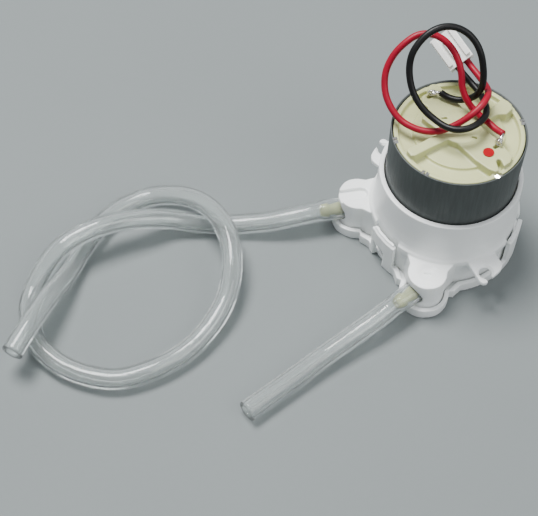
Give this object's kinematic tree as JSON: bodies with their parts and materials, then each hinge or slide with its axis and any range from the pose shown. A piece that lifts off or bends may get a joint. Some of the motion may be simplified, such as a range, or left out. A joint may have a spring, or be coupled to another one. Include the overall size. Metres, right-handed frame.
{
  "type": "peristaltic pump",
  "caption": "Small peristaltic dosing pump: a planetary-geared DC motor drives a roller rotor that squeezes a silicone tube between two side ports.",
  "frame": {"origin": "pump axis on the bottom face of the base cover", "axes": "+Z along the motor axis towards the terminals; -Y midway between the two tube ports"},
  "size_m": [0.076, 0.1314, 0.0609],
  "materials": {
    "white_abs": "satin moulded white, slightly translucent",
    "cream_nylon": "unfilled cream nylon, translucent at thin edges",
    "can_steel": "dark zinc-plated drawn steel with fine vertical draw lines",
    "steel": "ground steel",
    "brass": "satin",
    "copper": "enamelled copper",
    "silicone": "clear silicone",
    "nylon": "natural white nylon",
    "acetal": "natural acetal",
    "red_pvc": "semi-gloss PVC",
    "black_pvc": "semi-gloss PVC",
    "ferrite": "sintered ferrite",
    "tin": "solder-tinned brass",
    "iron": "laminated electrical steel",
    "red_paint": "dab of red lacquer"
  },
  "bodies": {
    "stator": {"pump_housing": "white_abs", "base_cover": "white_abs", "pump_tube": "silicone", "inlet_barb": "cream_nylon", "outlet_barb": "cream_nylon", "inlet_tube": "silicone", "outlet_tube": "silicone", "ring_gear": "acetal", "motor_plate": "acetal", "motor_plate_screw_1": "steel", "motor_plate_screw_2": "steel", "motor_can": "can_steel", "magnet_1": "ferrite", "magnet_2": "ferrite", "front_bearing": "brass", "rear_bearing": "brass", "end_cap": "cream_nylon", "terminal_negative": "tin", "terminal_positive": "tin", "ground_lug": "tin", "brush_negative": "brass", "brush_positive": "brass", "polarity_dot": "red_paint", "black_wire": "black_pvc", "red_wire": "red_pvc", "connector_housing": "nylon", "crimp_contact_1": "tin", "crimp_contact_2": "tin"},
    "armature": {"motor_shaft": "steel", "armature_core": "iron", "coil_1": "copper", "coil_2": "copper", "coil_3": "copper", "commutator": "copper", "sun_gear": "brass"},
    "rotor": {"planet_carrier": "acetal", "rotor_upper_plate": "acetal", "rotor_lower_plate": "acetal", "planet_pin_1": "steel", "planet_pin_2": "steel", "planet_pin_3": "steel", "roller_pin_1": "steel", "roller_pin_2": "steel", "roller_pin_3": "steel", "rotor_screw_1": "steel", "rotor_screw_2": "steel", "rotor_screw_3": "steel"},
    "planet_1": {"planet_gear_1": "acetal"},
    "idler_1": {"roller_1": "acetal"},
    "planet_2": {"planet_gear_2": "acetal"},
    "idler_2": {"roller_2": "acetal"},
    "planet_3": {"planet_gear_3": "acetal"},
    "idler_3": {"roller_3": "acetal"}
  },
  "joints": [
    {"name": "motor_spin", "type": "hinge", "parent": "stator", "child": "armature", "pos_m": [0, 0, 0.03], "axis": [0, 0, 1], "continuous": true},
    {"name": "rotor_spin", "type": "hinge", "parent": "stator", "child": "rotor", "pos_m": [0, 0, 0.006], "axis": [0, 0, 1], "continuous": true},
    {"name": "planet_1_spin", "type": "hinge", "parent": "rotor", "child": "planet_1", "pos_m": [0, 0.0075, 0.0146], "axis": [0, 0, 1], "continuous": true},
    {"name": "roller_1_spin", "type": "hinge", "parent": "rotor", "child": "idler_1", "pos_m": [0, 0.0109, 0.0056], "axis": [0, 0, 1], "continuous": true},
    {"name": "planet_2_spin", "type": "hinge", "parent": "rotor", "child": "planet_2", "pos_m": [-0.0065, -0.00375, 0.0146], "axis": [0, 0, 1], "continuous": true},
    {"name": "roller_2_spin", "type": "hinge", "parent": "rotor", "child": "idler_2", "pos_m": [-0.00944, -0.00545, 0.0056], "axis": [0, 0, 1], "continuous": true},
    {"name": "planet_3_spin", "type": "hinge", "parent": "rotor", "child": "planet_3", "pos_m": [0.0065, -0.00375, 0.0146], "axis": [0, 0, 1], "continuous": true},
    {"name": "roller_3_spin", "type": "hinge", "parent": "rotor", "child": "idler_3", "pos_m": [0.00944, -0.00545, 0.0056], "axis": [0, 0, 1], "continuous": true}
  ],
  "couplings": [
    {"joint": "rotor_spin", "follows": "motor_spin", "ratio": 0.2},
    {"joint": "planet_1_spin", "follows": "motor_spin", "ratio": -0.53333},
    {"joint": "roller_1_spin", "follows": "motor_spin", "ratio": -0.80556},
    {"joint": "planet_2_spin", "follows": "motor_spin", "ratio": -0.53333},
    {"joint": "roller_2_spin", "follows": "motor_spin", "ratio": -0.80556},
    {"joint": "planet_3_spin", "follows": "motor_spin", "ratio": -0.53333},
    {"joint": "roller_3_spin", "follows": "motor_spin", "ratio": -0.80556}
  ]
}
